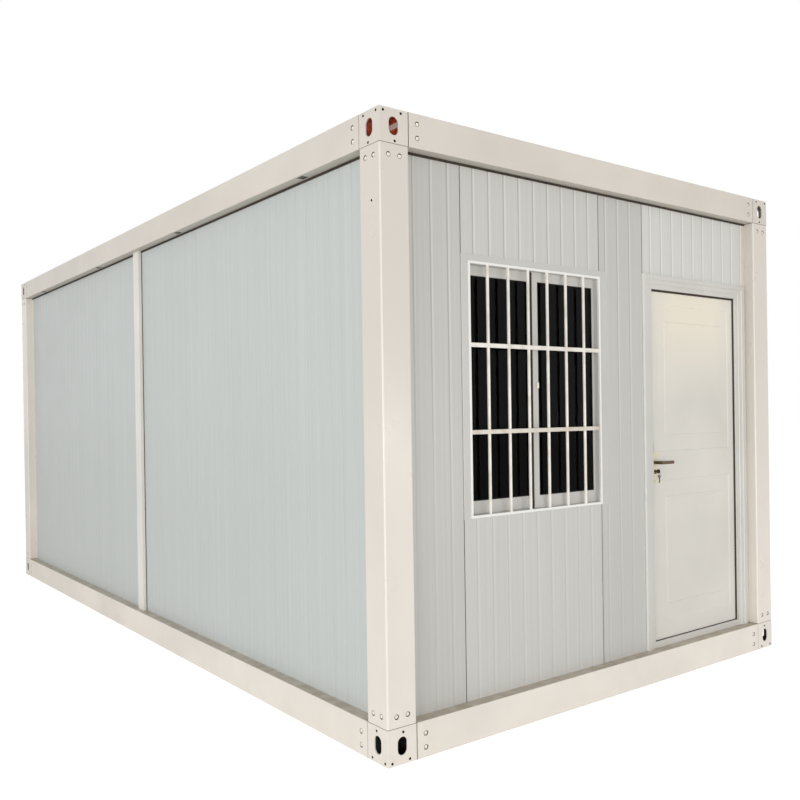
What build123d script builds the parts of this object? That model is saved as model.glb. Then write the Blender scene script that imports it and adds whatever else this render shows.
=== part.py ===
from build123d import *
import os

# Flat pack cabin, in millimetres. Z is up, the origin is at the middle of the footprint on the ground.
# The end wall with the window and the door faces -Y, and the long walls face -X and +X.
os.makedirs("parts", exist_ok=True)

# Overall size of the steel frame
width = 3000.0
length = 5950.0
height = 2800.0

# Steel frame
floor_beam_height = 160.0
roof_beam_height = 150.0
post_width = 155.0
post_depth = 150.0
frame_sheet = 3.0
post_bend = 8.0
post_lip = 20.0
beam_gap = 2.0
post_gap = 1.5
floor_beam_foot = 60.0
roof_beam_lip = 45.0
ceiling_ledge = 15.0
gutter_height = 95.0
block_plate = 8.0
oval_height = 78.0
oval_width = 50.0
tongue_plate = 6.0
tongue_length = 70.0
tongue_gap = 2.0
bend_gap = 14.0
drain_count = 4
drain_pitch = 1530.0
drain_length = 40.0
drain_width = 9.0
drain_inset = 30.0

# Sandwich panels
wall_recess = 65.0
panel_thickness = 50.0
panel_gap = 1.0
panel_edge = 2.0
groove_pitch = 100.0
groove_width = 20.0
groove_depth = 2.0
groove_margin = 40.0
middle_panel_groove_shift = -26.0
door_panel_groove_shift = 17.0
side_panel_count = 3
back_panel_count = 3

# Joint post in the middle of each long wall
joint_width = 100.0
joint_proud = 26.0
joint_core = 40.0
joint_inner_width = 80.0
joint_inner_proud = 8.0
joint_sheet = 2.0

# Floor and roof
joist_height = 120.0
joist_width = 45.0
joist_count = 10
board_thickness = 18.0
covering_thickness = 2.0
notch_gap = 1.0
ceiling_thickness = 12.0
purlin_width = 50.0
purlin_count = 6
roof_sheet_thickness = 2.0
roof_seam_height = 30.0
roof_seam_width = 24.0
roof_seam_top = 10.0
roof_seam_count = 12
roof_overhang = 15.0

# Front wall, from the left post to the right
left_panel_width = 345.0
window_panel_width = 965.0
door_frame_width = 1015.0

# Window: a lip round the opening, a flat cover strip outside it, two sashes, and a guard of bars
window_sill = 1003.0
window_height = 1235.0
window_left_face = 50.0
window_right_face = 66.0
window_top_face = 44.0
window_bottom_face = 15.0
window_cover_right = 53.0
window_lip = 12.0
window_lip_proud = 10.0
window_cover = 5.0
window_back = 5.0
sash_side = 20.0
sash_meeting = 46.0
sash_top = 47.0
sash_bottom = 62.0
sash_thickness = 12.0
sash_setback = 23.0
track_gap = 2.0
glass_thickness = 5.0
guard_rod = 14.0
guard_rod_sides = 8
guard_rods = 6
guard_rod_pitch = 134.8
guard_rail_height = 20.0
guard_rail_depth = 16.0
guard_rail_levels = (1407.0, 1815.0)

# Door frame
door_frame_height = 2098.0
door_jamb_left = 80.0
door_jamb_right = 110.0
door_head = 80.0
door_sill = 35.0
casing_steps = 3
casing_proud = 12.0
casing_step = 5.0
stop_thickness = 10.0
stop_cover = 12.0
door_frame_back = 10.0

# Door leaf
leaf_thickness = 45.0
leaf_clearance = 6.0
leaf_lock_clearance = 7.0
leaf_stop_clearance = 5.0
leaf_floor_clearance = 9.0
emboss_margin = 72.0
emboss_top = 93.0
emboss_depth = 4.0
emboss_taper = 55.0
field_margin = 74.0
field_end_margin = 94.0
emboss_middle = 160.0
emboss_middle_height = 1180.0
emboss_bottom = 110.0

# Hinges on the inner face
hinge_count = 3
hinge_barrel = 8.0
hinge_pin = 4.0
hinge_pin_clearance = 0.05
hinge_standoff = 10.0
hinge_half = 50.0
hinge_pin_reach = 35.0
hinge_gap = 0.5
hinge_plate = 3.0
hinge_plate_width = 32.0
hinge_end_margin = 230.0

# Lock and lever
lock_backset = 44.0
lock_height = 1175.0
lock_plate_width = 34.0
lock_plate_height = 176.0
lock_plate_thickness = 4.0
lock_plate_corner = 6.0
lever_above = 27.0
cylinder_below = 22.0
cylinder_radius = 8.5
cylinder_tail = 16.0
cylinder_tail_width = 10.0
cylinder_proud = 3.0
lever_neck = 9.0
lever_spindle = 5.0
lever_clearance = 0.5
lever_reach = 46.0
lever_bar_width = 18.0
lever_bar_thickness = 11.0
lever_length = 112.0
key_head = 12.0
key_head_thickness = 2.5
key_stem = 11.0
key_stem_width = 6.0
key_hole = 1.6

# Places worked out from the sizes above
half_width = width / 2
half_length = length / 2
wall_bottom = floor_beam_height
wall_top = height - roof_beam_height
wall_inner = wall_recess + panel_thickness
joist_top = floor_beam_height - frame_sheet
floor_level = joist_top + board_thickness + covering_thickness
gutter_width = wall_inner + ceiling_ledge
roof_deck = wall_top + gutter_height
front = -half_length + wall_recess
panel_back = front + panel_thickness
window_left = -half_width + post_width + left_panel_width
window_right = window_left + window_panel_width
window_top = window_sill + window_height
door_right = half_width - post_width
door_left = door_right - door_frame_width
door_top = wall_bottom + door_frame_height
stop_left = door_left + door_jamb_left
stop_right = door_right - door_jamb_right
stop_top = door_top - door_head
stop_bottom = wall_bottom + door_sill
rebate_left = stop_left - stop_cover - leaf_lock_clearance
rebate_right = stop_right + stop_cover + leaf_clearance
rebate_top = stop_top + stop_cover + leaf_clearance
leaf_left = rebate_left + leaf_lock_clearance
leaf_right = rebate_right - leaf_clearance
leaf_top = rebate_top - leaf_clearance
leaf_bottom = floor_level + leaf_floor_clearance
leaf_front = front + stop_thickness + leaf_stop_clearance
leaf_back = leaf_front + leaf_thickness
door_frame_rear = panel_back + door_frame_back
hinge_x = (leaf_right + rebate_right) / 2
hinge_y = leaf_back + hinge_standoff
lock_x = leaf_left + lock_backset
lever_z = lock_height + lever_above
cylinder_z = lock_height - cylinder_below


def rectangle_between(u0, u1, v0, v1, mode=Mode.ADD):
    """Adds a rectangle to the sketch in hand, from one corner to the other."""
    with Locations(((u0 + u1) / 2, (v0 + v1) / 2)):
        Rectangle(abs(u1 - u0), abs(v1 - v0), mode=mode)


def cut_corner_rectangle(middle, across, along, cut, mode=Mode.ADD):
    """Adds a rectangle with its corners cut off to the sketch in hand."""
    u, v = across / 2, along / 2
    with Locations(middle):
        Polygon(
            (cut - u, -v), (u - cut, -v), (u, cut - v), (u, v - cut),
            (u - cut, v), (cut - u, v), (-u, v - cut), (-u, cut - v),
            align=None, mode=mode)


def facing_front(y):
    """An upright plane at y whose extrusions run to -Y, with X across and Z up."""
    return Plane.XZ.offset(-y)


def save(part, name):
    """Names a piece and writes its file."""
    part.label = name
    export_step(part, "parts/" + name + ".step")


# The eight hollow corner blocks, with tongues that reach into the beams and the post
def make_corner_block(side, end, bottom, tall, is_roof):
    """One corner block: side is -1 or 1 along X, end is -1 or 1 along Y."""
    outer_x = side * half_width
    outer_y = end * half_length
    inner_x = outer_x - side * post_width
    inner_y = outer_y - end * post_depth
    middle = (outer_x - side * post_width / 2, outer_y - end * post_depth / 2)
    oval_z = bottom + tall / 2
    tongue_low = bottom + frame_sheet + tongue_gap
    tongue_high = bottom + tall - frame_sheet - tongue_gap
    tongue_inset = frame_sheet + tongue_plate
    outer_level = bottom + tall if is_roof else bottom
    inner_level = bottom if is_roof else bottom + tall
    inward = -1 if is_roof else 1
    with BuildPart() as block:
        with BuildSketch(Plane.XY.offset(bottom)):
            rectangle_between(outer_x, inner_x, outer_y, inner_y)
        extrude(amount=tall)
        with BuildSketch(Plane.XY.offset(bottom + block_plate)):
            with Locations(middle):
                Rectangle(post_width - 2 * block_plate, post_depth - 2 * block_plate)
        extrude(amount=tall - 2 * block_plate, mode=Mode.SUBTRACT)
        with BuildSketch(Plane((middle[0], outer_y, oval_z), x_dir=(1, 0, 0), z_dir=(0, end, 0))):
            SlotOverall(oval_height, oval_width, rotation=90)
        extrude(amount=-block_plate, mode=Mode.SUBTRACT)
        with BuildSketch(Plane((outer_x, middle[1], oval_z), x_dir=(0, 1, 0), z_dir=(side, 0, 0))):
            SlotOverall(oval_height, oval_width, rotation=90)
        extrude(amount=-block_plate, mode=Mode.SUBTRACT)
        with BuildSketch(Plane((middle[0], middle[1], outer_level), z_dir=(0, 0, -inward))):
            SlotOverall(oval_height, oval_width)
        extrude(amount=-block_plate, mode=Mode.SUBTRACT)
        with BuildSketch(Plane.XY.offset(tongue_low)):
            rectangle_between(
                inner_x, inner_x - side * tongue_length,
                outer_y - end * frame_sheet, outer_y - end * tongue_inset)
            rectangle_between(
                outer_x - side * frame_sheet, outer_x - side * tongue_inset,
                inner_y, inner_y - end * tongue_length)
        extrude(amount=tongue_high - tongue_low)
        with BuildSketch(Plane.XY.offset(inner_level)):
            rectangle_between(
                outer_x - side * bend_gap, inner_x + side * bend_gap,
                outer_y - end * frame_sheet, outer_y - end * tongue_inset)
            rectangle_between(
                outer_x - side * frame_sheet, outer_x - side * tongue_inset,
                outer_y - end * bend_gap, inner_y + end * bend_gap)
        extrude(amount=inward * tongue_length)
    return block.part


for side, side_name in ((-1, "left"), (1, "right")):
    for end, end_name in ((-1, "front"), (1, "back")):
        place = end_name + "_" + side_name
        save(make_corner_block(side, end, 0, floor_beam_height, False), "floor_corner_" + place)
        save(make_corner_block(side, end, wall_top, roof_beam_height, True), "roof_corner_" + place)


# The four cold formed posts, with a lip that covers the edge of each wall
def make_post(side, end):
    """One post, bent from sheet, between the floor block and the roof block."""
    outer_x = side * half_width
    outer_y = end * half_length
    inner_x = outer_x - side * post_width
    inner_y = outer_y - end * post_depth
    middle = ((outer_x + inner_x) / 2, (outer_y + inner_y) / 2)
    with BuildPart() as post:
        with BuildSketch(Plane.XY.offset(wall_bottom + post_gap)):
            with Locations(middle):
                RectangleRounded(post_width, post_depth, post_bend)
            cut_corner_rectangle(
                middle, post_width - 2 * frame_sheet, post_depth - 2 * frame_sheet,
                post_bend - frame_sheet, mode=Mode.SUBTRACT)
            rectangle_between(
                inner_x + side * frame_sheet, inner_x - side * post_lip,
                outer_y - end * wall_recess, outer_y - end * (wall_recess - frame_sheet))
            rectangle_between(
                outer_x - side * wall_recess, outer_x - side * (wall_recess - frame_sheet),
                inner_y + end * frame_sheet, inner_y - end * post_lip)
        extrude(amount=wall_top - wall_bottom - 2 * post_gap)
    return post.part


for side, side_name in ((-1, "left"), (1, "right")):
    for end, end_name in ((-1, "front"), (1, "back")):
        save(make_post(side, end), "post_" + end_name + "_" + side_name)


# Floor beams: a channel with a broad top flange that carries the wall, and a foot on the ground
def floor_beam_section(outer, inward):
    """Adds the section of a floor beam: outer is its outer face, inward is -1 or 1."""
    rectangle_between(outer, outer + inward * frame_sheet, 0, floor_beam_height)
    rectangle_between(outer, outer + inward * wall_inner, joist_top, floor_beam_height)
    rectangle_between(outer, outer + inward * floor_beam_foot, 0, frame_sheet)


# Roof beams: a web, a short top lip, and a gutter whose floor covers the wall
def roof_beam_section(outer, inward):
    """Adds the section of a roof beam: outer is its outer face, inward is -1 or 1."""
    inner = outer + inward * gutter_width
    rectangle_between(outer, outer + inward * frame_sheet, wall_top, height)
    rectangle_between(outer, outer + inward * roof_beam_lip, height - frame_sheet, height)
    rectangle_between(outer, inner, wall_top, wall_top + frame_sheet)
    rectangle_between(inner - inward * frame_sheet, inner, wall_top, roof_deck)


side_beam_length = length - 2 * (post_depth + beam_gap)
end_beam_length = width - 2 * (post_width + beam_gap)
for name, section in (("floor_beam_", floor_beam_section), ("roof_beam_", roof_beam_section)):
    for side, side_name in ((-1, "left"), (1, "right")):
        with BuildPart() as side_beam:
            with BuildSketch(facing_front(side_beam_length / 2)):
                section(side * half_width, -side)
            extrude(amount=side_beam_length)
            if section is roof_beam_section:
                with BuildSketch(Plane.XY.offset(wall_top)):
                    with Locations((side * (half_width - drain_inset), 0)):
                        with GridLocations(drain_width, drain_pitch, 1, drain_count):
                            Rectangle(drain_width, drain_length)
                extrude(amount=frame_sheet, mode=Mode.SUBTRACT)
        save(side_beam.part, name + side_name)
    for end, end_name in ((-1, "front"), (1, "back")):
        with BuildPart() as end_beam:
            with BuildSketch(Plane.YZ.offset(-end_beam_length / 2)):
                section(end * half_length, -end)
            extrude(amount=end_beam_length)
        save(end_beam.part, name + end_name)


# Floor joists: channels from web to web, under the flanges of the side beams
def joist_section(y):
    """Adds a channel section whose back stands at y."""
    low = joist_top - joist_height
    rectangle_between(y, y + frame_sheet, low, joist_top)
    rectangle_between(y, y + joist_width, joist_top - frame_sheet, joist_top)
    rectangle_between(y, y + joist_width, low, low + frame_sheet)


joist_span = length - 2 * (post_depth + tongue_length) - 2 * joist_width
with BuildPart() as floor_joists:
    with BuildSketch(Plane.YZ.offset(-half_width + frame_sheet)):
        for index in range(joist_count):
            joist_section(-joist_span / 2 - joist_width / 2 + index * joist_span / (joist_count - 1))
    extrude(amount=width - 2 * frame_sheet)
save(floor_joists.part, "floor_joists")


# Boards that fill the frame are notched around the posts or the corner blocks
def notched_board(margin, level, thickness):
    """A board between the walls, with a notch at each corner of the frame."""
    with BuildPart() as board:
        with BuildSketch(Plane.XY.offset(level)):
            Rectangle(width - 2 * margin, length - 2 * margin)
            with GridLocations(width, length, 2, 2):
                Rectangle(
                    2 * (post_width + notch_gap), 2 * (post_depth + notch_gap), mode=Mode.SUBTRACT)
        extrude(amount=thickness)
    return board.part


save(notched_board(wall_inner, joist_top, board_thickness), "floor_board")
save(notched_board(wall_inner, joist_top + board_thickness, covering_thickness), "floor_covering")
save(notched_board(gutter_width, wall_top, ceiling_thickness), "ceiling")

# Purlins across the roof, from gutter to gutter, on the ceiling and under the roof sheet
purlin_bottom = wall_top + ceiling_thickness
purlin_span = length - 2 * (post_depth + notch_gap + purlin_width)
purlin_pitch = purlin_span / (purlin_count - 1)
with BuildPart() as roof_purlins:
    with BuildSketch(Plane.YZ.offset(-half_width + gutter_width)):
        for index in range(purlin_count):
            back_of_purlin = -purlin_span / 2 - purlin_width / 2 + index * purlin_pitch
            front_of_purlin = back_of_purlin + purlin_width
            rectangle_between(
                back_of_purlin, back_of_purlin + frame_sheet, purlin_bottom, roof_deck)
            rectangle_between(
                back_of_purlin, front_of_purlin, roof_deck - frame_sheet, roof_deck)
            rectangle_between(
                back_of_purlin, front_of_purlin, purlin_bottom, purlin_bottom + frame_sheet)
    extrude(amount=width - 2 * gutter_width)
save(roof_purlins.part, "roof_purlins")

# Roof sheet with standing seams across the cabin, its edges over the gutters
sheet_half_x = half_width - gutter_width + roof_overhang
sheet_half_y = half_length - gutter_width + roof_overhang
seam_pitch = 2 * sheet_half_y / roof_seam_count
with BuildPart() as roof_sheet:
    with BuildSketch(Plane.YZ.offset(-sheet_half_x)):
        rectangle_between(-sheet_half_y, sheet_half_y, roof_deck, roof_deck + roof_sheet_thickness)
        for index in range(roof_seam_count):
            seam_y = -sheet_half_y + (index + 0.5) * seam_pitch
            with BuildLine():
                Polyline(
                    (seam_y - roof_seam_width / 2, roof_deck),
                    (seam_y - roof_seam_top / 2, roof_deck + roof_seam_height),
                    (seam_y + roof_seam_top / 2, roof_deck + roof_seam_height),
                    (seam_y + roof_seam_width / 2, roof_deck),
                    close=True)
            make_face()
    extrude(amount=2 * sheet_half_x)
    with BuildSketch(Plane.XY.offset(roof_deck)):
        with GridLocations(width, length, 2, 2):
            Rectangle(2 * (post_width + notch_gap), 2 * (post_depth + notch_gap))
    extrude(amount=roof_seam_height, mode=Mode.SUBTRACT)
save(roof_sheet.part, "roof_sheet")


# Sandwich panels, with upright grooves in the outer skin and a narrow V at each seam
def panel_row(start, stop, count):
    """The first and last point of each panel in a row, a small gap apart."""
    pitch = (stop - start) / count
    return [
        (start + index * pitch, start + (index + 1) * pitch - (panel_gap if index < count - 1 else 0))
        for index in range(count)]


def panel_outline(start, stop, shift=0):
    """Adds the plan of a panel, X along the wall and Y inwards, its grooves moved by shift."""
    grooves = int((stop - start - 2 * groove_margin) / groove_pitch) + 1
    first = (start + stop - (grooves - 1) * groove_pitch) / 2 + shift
    points = [(start, panel_edge), (start + panel_edge, 0)]
    for index in range(grooves):
        middle = first + index * groove_pitch
        points += [(middle - groove_width / 2, 0), (middle, groove_depth), (middle + groove_width / 2, 0)]
    points += [
        (stop - panel_edge, 0), (stop, panel_edge), (stop, panel_thickness), (start, panel_thickness)]
    Polygon(*points, align=None)


def wall_plane(place, outward, level):
    """A level plane at a wall's outer face, with Y running inwards."""
    along = (-outward[1], outward[0], 0)
    return Plane((place[0], place[1], level), x_dir=along, z_dir=(0, 0, 1))


# Walls of the long sides: two bays of panels with a joint post between them
side_rows = panel_row(-half_length + post_depth, -joint_core / 2, side_panel_count)
side_rows += panel_row(joint_core / 2, half_length - post_depth, side_panel_count)
for side, side_name in ((-1, "left"), (1, "right")):
    with BuildPart() as side_panels:
        with BuildSketch(wall_plane((side * (half_width - wall_recess), 0), (side, 0), wall_bottom)):
            for low, high in side_rows:
                panel_outline(low, high)
        extrude(amount=wall_top - wall_bottom)
    save(side_panels.part, side_name + "_wall_panels")

with BuildPart() as side_wall_joints:
    with BuildSketch(Plane.XY.offset(wall_bottom)):
        for side in (-1, 1):
            cap = side * (half_width - wall_recess + joint_proud)
            face = side * (half_width - wall_recess)
            back = side * (half_width - wall_inner)
            rectangle_between(cap, face, -joint_width / 2, joint_width / 2)
            rectangle_between(
                cap - side * joint_sheet, face + side * joint_sheet,
                -joint_width / 2 + joint_sheet, joint_width / 2 - joint_sheet, mode=Mode.SUBTRACT)
            rectangle_between(face, back, -joint_core / 2, joint_core / 2)
            rectangle_between(
                face, back, -joint_core / 2 + joint_sheet, joint_core / 2 - joint_sheet,
                mode=Mode.SUBTRACT)
    extrude(amount=wall_top - wall_bottom)
    with BuildSketch(Plane.XY.offset(floor_level)):
        for side in (-1, 1):
            back = side * (half_width - wall_inner)
            rectangle_between(
                back, back - side * joint_inner_proud, -joint_inner_width / 2, joint_inner_width / 2)
    extrude(amount=wall_top - floor_level)
save(side_wall_joints.part, "side_wall_joints")

with BuildPart() as back_wall_panels:
    with BuildSketch(wall_plane((0, half_length - wall_recess), (0, 1), wall_bottom)):
        for low, high in panel_row(-half_width + post_width, half_width - post_width, back_panel_count):
            panel_outline(low, high)
    extrude(amount=wall_top - wall_bottom)
save(back_wall_panels.part, "back_wall_panels")

# Front wall: a panel each side of the window, and panels under and over the openings
front_panels = {
    "front_panel_left": (-half_width + post_width, window_left - panel_gap, wall_bottom, wall_top, 0),
    "panel_under_window": (window_left, window_right, wall_bottom, window_sill, 0),
    "panel_over_window": (window_left, window_right, window_top, wall_top, 0),
    "front_panel_middle": (
        window_right + panel_gap, door_left, wall_bottom, wall_top, middle_panel_groove_shift),
    "panel_over_door": (door_left + panel_gap, door_right, door_top, wall_top, door_panel_groove_shift),
}
for name, (left, right, low, high, shift) in front_panels.items():
    with BuildPart() as front_panel:
        with BuildSketch(wall_plane((0, front), (0, -1), low)):
            panel_outline(left, right, shift)
        extrude(amount=high - low)
    save(front_panel.part, name)

# Window frame: set in the wall, with a lip round the opening and a cover strip over the panels' edges
window_front = front - window_lip_proud
window_rear = panel_back + window_back
opening_left = window_left + window_left_face
opening_right = window_right + window_cover_right - window_right_face
opening_bottom = window_sill + window_bottom_face
opening_top = window_top - window_top_face
with BuildPart() as window_frame:
    with BuildSketch(facing_front(window_rear)):
        rectangle_between(window_left, window_right, window_sill, window_top)
        rectangle_between(opening_left, opening_right, opening_bottom, opening_top, mode=Mode.SUBTRACT)
    extrude(amount=window_rear - front)
    with BuildSketch(facing_front(front)):
        rectangle_between(window_left, window_right + window_cover_right, window_sill, window_top)
        rectangle_between(opening_left, opening_right, opening_bottom, opening_top, mode=Mode.SUBTRACT)
    extrude(amount=window_cover)
    with BuildSketch(facing_front(front)):
        rectangle_between(
            opening_left - window_lip, opening_right + window_lip,
            opening_bottom - window_lip, opening_top + window_lip)
        rectangle_between(opening_left, opening_right, opening_bottom, opening_top, mode=Mode.SUBTRACT)
    extrude(amount=window_lip_proud)
save(window_frame.part, "window_frame")

# Two sliding sashes: the right one is in the outer track and its stile covers the left one's
sash_width = (opening_right - opening_left + sash_meeting) / 2
outer_track = front + sash_setback
inner_track = outer_track + sash_thickness + track_gap
sashes = (
    (opening_left, opening_left + sash_side, opening_left + sash_width - sash_meeting, inner_track),
    (opening_right - sash_width, opening_right - sash_width + sash_meeting, opening_right - sash_side,
     outer_track))
with BuildPart() as window_sashes:
    for left, pane_left, pane_right, near in sashes:
        with BuildSketch(facing_front(near + sash_thickness)):
            rectangle_between(left, left + sash_width, opening_bottom, opening_top)
            rectangle_between(
                pane_left, pane_right, opening_bottom + sash_bottom, opening_top - sash_top,
                mode=Mode.SUBTRACT)
        extrude(amount=sash_thickness)
save(window_sashes.part, "window_sashes")

with BuildPart() as window_glass:
    for left, pane_left, pane_right, near in sashes:
        with BuildSketch(facing_front(near + (sash_thickness + glass_thickness) / 2)):
            rectangle_between(
                pane_left, pane_right, opening_bottom + sash_bottom, opening_top - sash_top)
        extrude(amount=glass_thickness)
save(window_glass.part, "window_glass")

# Guard in the opening: upright rods through two rails, just behind the face of the lip
guard_middle = (opening_left + opening_right) / 2
guard_plane = window_front + guard_rail_depth / 2
with BuildPart() as window_guard:
    with BuildSketch(Plane.XY.offset(opening_bottom)):
        with Locations((guard_middle, guard_plane)):
            with GridLocations(guard_rod_pitch, guard_rod, guard_rods, 1):
                RegularPolygon(guard_rod / 2, guard_rod_sides, major_radius=False)
    extrude(amount=opening_top - opening_bottom)
    with BuildSketch(facing_front(guard_plane + guard_rail_depth / 2)):
        for level in guard_rail_levels:
            rectangle_between(
                opening_left, opening_right, level - guard_rail_height / 2, level + guard_rail_height / 2)
    extrude(amount=guard_rail_depth)
save(window_guard.part, "window_guard")

# Door frame: a stepped casing, a stop in front of the leaf and a rebate that the leaf sits in
casing_right = door_right - post_lip - panel_gap
with BuildPart() as door_frame:
    with BuildSketch(facing_front(panel_back)):
        rectangle_between(door_left, door_right, wall_bottom, door_top)
        rectangle_between(rebate_left, rebate_right, floor_level, rebate_top, mode=Mode.SUBTRACT)
    extrude(amount=panel_thickness)
    with BuildSketch(facing_front(door_frame_rear)):
        rectangle_between(door_left, door_right, floor_level, door_top)
        rectangle_between(rebate_left, rebate_right, floor_level, rebate_top, mode=Mode.SUBTRACT)
    extrude(amount=door_frame_back)
    with BuildSketch(facing_front(front + stop_thickness)):
        rectangle_between(door_left, door_right, wall_bottom, door_top)
        rectangle_between(stop_left, stop_right, stop_bottom, stop_top, mode=Mode.SUBTRACT)
    extrude(amount=stop_thickness)
    for index in range(casing_steps):
        inset_left = index * (stop_left - door_left) / casing_steps
        inset_right = index * (casing_right - stop_right) / casing_steps
        inset_top = index * (door_top - stop_top) / casing_steps
        with BuildSketch(facing_front(front)):
            rectangle_between(
                door_left + inset_left, casing_right - inset_right, wall_bottom, door_top - inset_top)
            rectangle_between(
                door_left + (stop_left - door_left) * (index + 1) / casing_steps,
                casing_right - (casing_right - stop_right) * (index + 1) / casing_steps,
                wall_bottom, door_top - (door_top - stop_top) * (index + 1) / casing_steps,
                mode=Mode.SUBTRACT)
        extrude(amount=casing_proud - index * casing_step)
save(door_frame.part, "door_frame")

# Hinges: the lower half of each, with the pin, is on the frame, and the upper half on the leaf
hinge_low = leaf_bottom + hinge_end_margin
hinge_rise = (leaf_top - leaf_bottom - 2 * hinge_end_margin) / (hinge_count - 1)
hinge_levels = [hinge_low + index * hinge_rise for index in range(hinge_count)]
with BuildPart() as frame_hinges:
    for level in hinge_levels:
        with BuildSketch(Plane.XY.offset(level - hinge_half)):
            with Locations((hinge_x, hinge_y)):
                Circle(hinge_barrel)
            rectangle_between(rebate_right, hinge_x + hinge_barrel, door_frame_rear, hinge_y)
            rectangle_between(
                rebate_right, rebate_right + hinge_plate_width,
                door_frame_rear, door_frame_rear + hinge_plate)
        extrude(amount=hinge_half)
        with BuildSketch(Plane.XY.offset(level)):
            with Locations((hinge_x, hinge_y)):
                Circle(hinge_pin)
        extrude(amount=hinge_pin_reach)
save(frame_hinges.part, "frame_hinges")

with BuildPart() as leaf_hinges:
    for level in hinge_levels:
        with BuildSketch(Plane.XY.offset(level + hinge_gap)):
            with Locations((hinge_x, hinge_y)):
                Circle(hinge_barrel)
            rectangle_between(leaf_right, hinge_x - hinge_barrel, leaf_back, hinge_y)
            rectangle_between(
                leaf_right, leaf_right - hinge_plate_width, leaf_back, leaf_back + hinge_plate)
        extrude(amount=hinge_half)
        with BuildSketch(Plane.XY.offset(level + hinge_gap)):
            with Locations((hinge_x, hinge_y)):
                Circle(hinge_pin + hinge_pin_clearance)
        extrude(amount=hinge_pin_reach, mode=Mode.SUBTRACT)
save(leaf_hinges.part, "leaf_hinges")

# Door leaf with two pressed panels, and holes for the spindle and the lock cylinder
panel_left = leaf_left + emboss_margin
panel_right = leaf_right - emboss_margin
upper_low = emboss_middle_height + emboss_middle / 2
upper_high = leaf_top - emboss_top
lower_low = leaf_bottom + emboss_bottom
lower_high = emboss_middle_height - emboss_middle / 2
pressed_panels = ((upper_low, upper_high), (lower_low, lower_high))


def cylinder_profile(extra):
    """Adds the outline of the lock cylinder, round above and narrow below, grown by extra."""
    with Locations((lock_x, cylinder_z)):
        Circle(cylinder_radius + extra)
    rectangle_between(
        lock_x - cylinder_tail_width / 2 - extra, lock_x + cylinder_tail_width / 2 + extra,
        cylinder_z - cylinder_tail - extra, cylinder_z)


with BuildPart() as door_leaf:
    with BuildSketch(facing_front(leaf_back)):
        rectangle_between(leaf_left, leaf_right, leaf_bottom, leaf_top)
    extrude(amount=leaf_thickness)
    for low, high in pressed_panels:
        with BuildSketch(facing_front(leaf_front)):
            rectangle_between(panel_left, panel_right, low, high)
        extrude(amount=-emboss_depth, taper=emboss_taper, mode=Mode.SUBTRACT)
        with BuildSketch(facing_front(leaf_front + emboss_depth)):
            rectangle_between(
                panel_left + field_margin, panel_right - field_margin,
                low + field_end_margin, high - field_end_margin)
        extrude(amount=emboss_depth, taper=emboss_taper)
    with BuildSketch(facing_front(leaf_back)):
        with Locations((lock_x, lever_z)):
            Circle(lever_spindle + lever_clearance)
        cylinder_profile(0)
    extrude(amount=leaf_thickness, mode=Mode.SUBTRACT)
save(door_leaf.part, "door_leaf")

with BuildPart() as lock_plates:
    for near in (leaf_front - lock_plate_thickness, leaf_back):
        with BuildSketch(facing_front(near + lock_plate_thickness)):
            cut_corner_rectangle(
                (lock_x, lock_height), lock_plate_width, lock_plate_height, lock_plate_corner)
            with Locations((lock_x, lever_z)):
                Circle(lever_neck + lever_clearance, mode=Mode.SUBTRACT)
            with Locations((lock_x, cylinder_z)):
                Circle(cylinder_radius, mode=Mode.SUBTRACT)
            rectangle_between(
                lock_x - cylinder_tail_width / 2, lock_x + cylinder_tail_width / 2,
                cylinder_z - cylinder_tail, cylinder_z, mode=Mode.SUBTRACT)
        extrude(amount=lock_plate_thickness)
save(lock_plates.part, "lock_plates")

# Lock cylinder right through the leaf, with the key in its outer end
cylinder_front = leaf_front - lock_plate_thickness - cylinder_proud
cylinder_rear = leaf_back + lock_plate_thickness + cylinder_proud
with BuildPart() as lock_cylinder:
    with BuildSketch(facing_front(cylinder_rear)):
        cylinder_profile(0)
    extrude(amount=cylinder_rear - cylinder_front)
    with BuildSketch(facing_front(cylinder_front)):
        rectangle_between(
            lock_x - key_head_thickness / 2, lock_x + key_head_thickness / 2,
            cylinder_z - key_stem_width / 2, cylinder_z + key_stem_width / 2)
    extrude(amount=key_stem)
    with BuildSketch(Plane.YZ.offset(lock_x - key_head_thickness / 2)):
        with Locations((cylinder_front - key_stem - key_head / 2, cylinder_z)):
            Circle(key_head)
        with Locations((cylinder_front - key_stem - key_head, cylinder_z - key_head / 2)):
            Circle(key_hole, mode=Mode.SUBTRACT)
    extrude(amount=key_head_thickness)
save(lock_cylinder.part, "lock_cylinder")

# Lever handle: one spindle through the leaf with a neck and a bar on each side
spindle_front = leaf_front - lock_plate_thickness
spindle_rear = leaf_back + lock_plate_thickness
with BuildPart() as door_lever:
    with BuildSketch(facing_front(spindle_rear)):
        with Locations((lock_x, lever_z)):
            Circle(lever_spindle)
    extrude(amount=spindle_rear - spindle_front)
    for near, reach in ((leaf_front, lever_reach), (leaf_back, -lever_reach)):
        plate_face = near - lever_clearance if reach > 0 else near + lever_clearance
        with BuildSketch(facing_front(plate_face)):
            with Locations((lock_x, lever_z)):
                Circle(lever_neck)
        extrude(amount=reach)
        with BuildSketch(facing_front(plate_face - reach)):
            with Locations((lock_x + (lever_length - lever_bar_width) / 2, lever_z)):
                SlotOverall(lever_length, lever_bar_width)
        extrude(amount=lever_bar_thickness if reach > 0 else -lever_bar_thickness)
save(door_lever.part, "door_lever")
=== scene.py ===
import bpy
import bmesh
import math
from mathutils import Matrix, Vector


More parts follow.
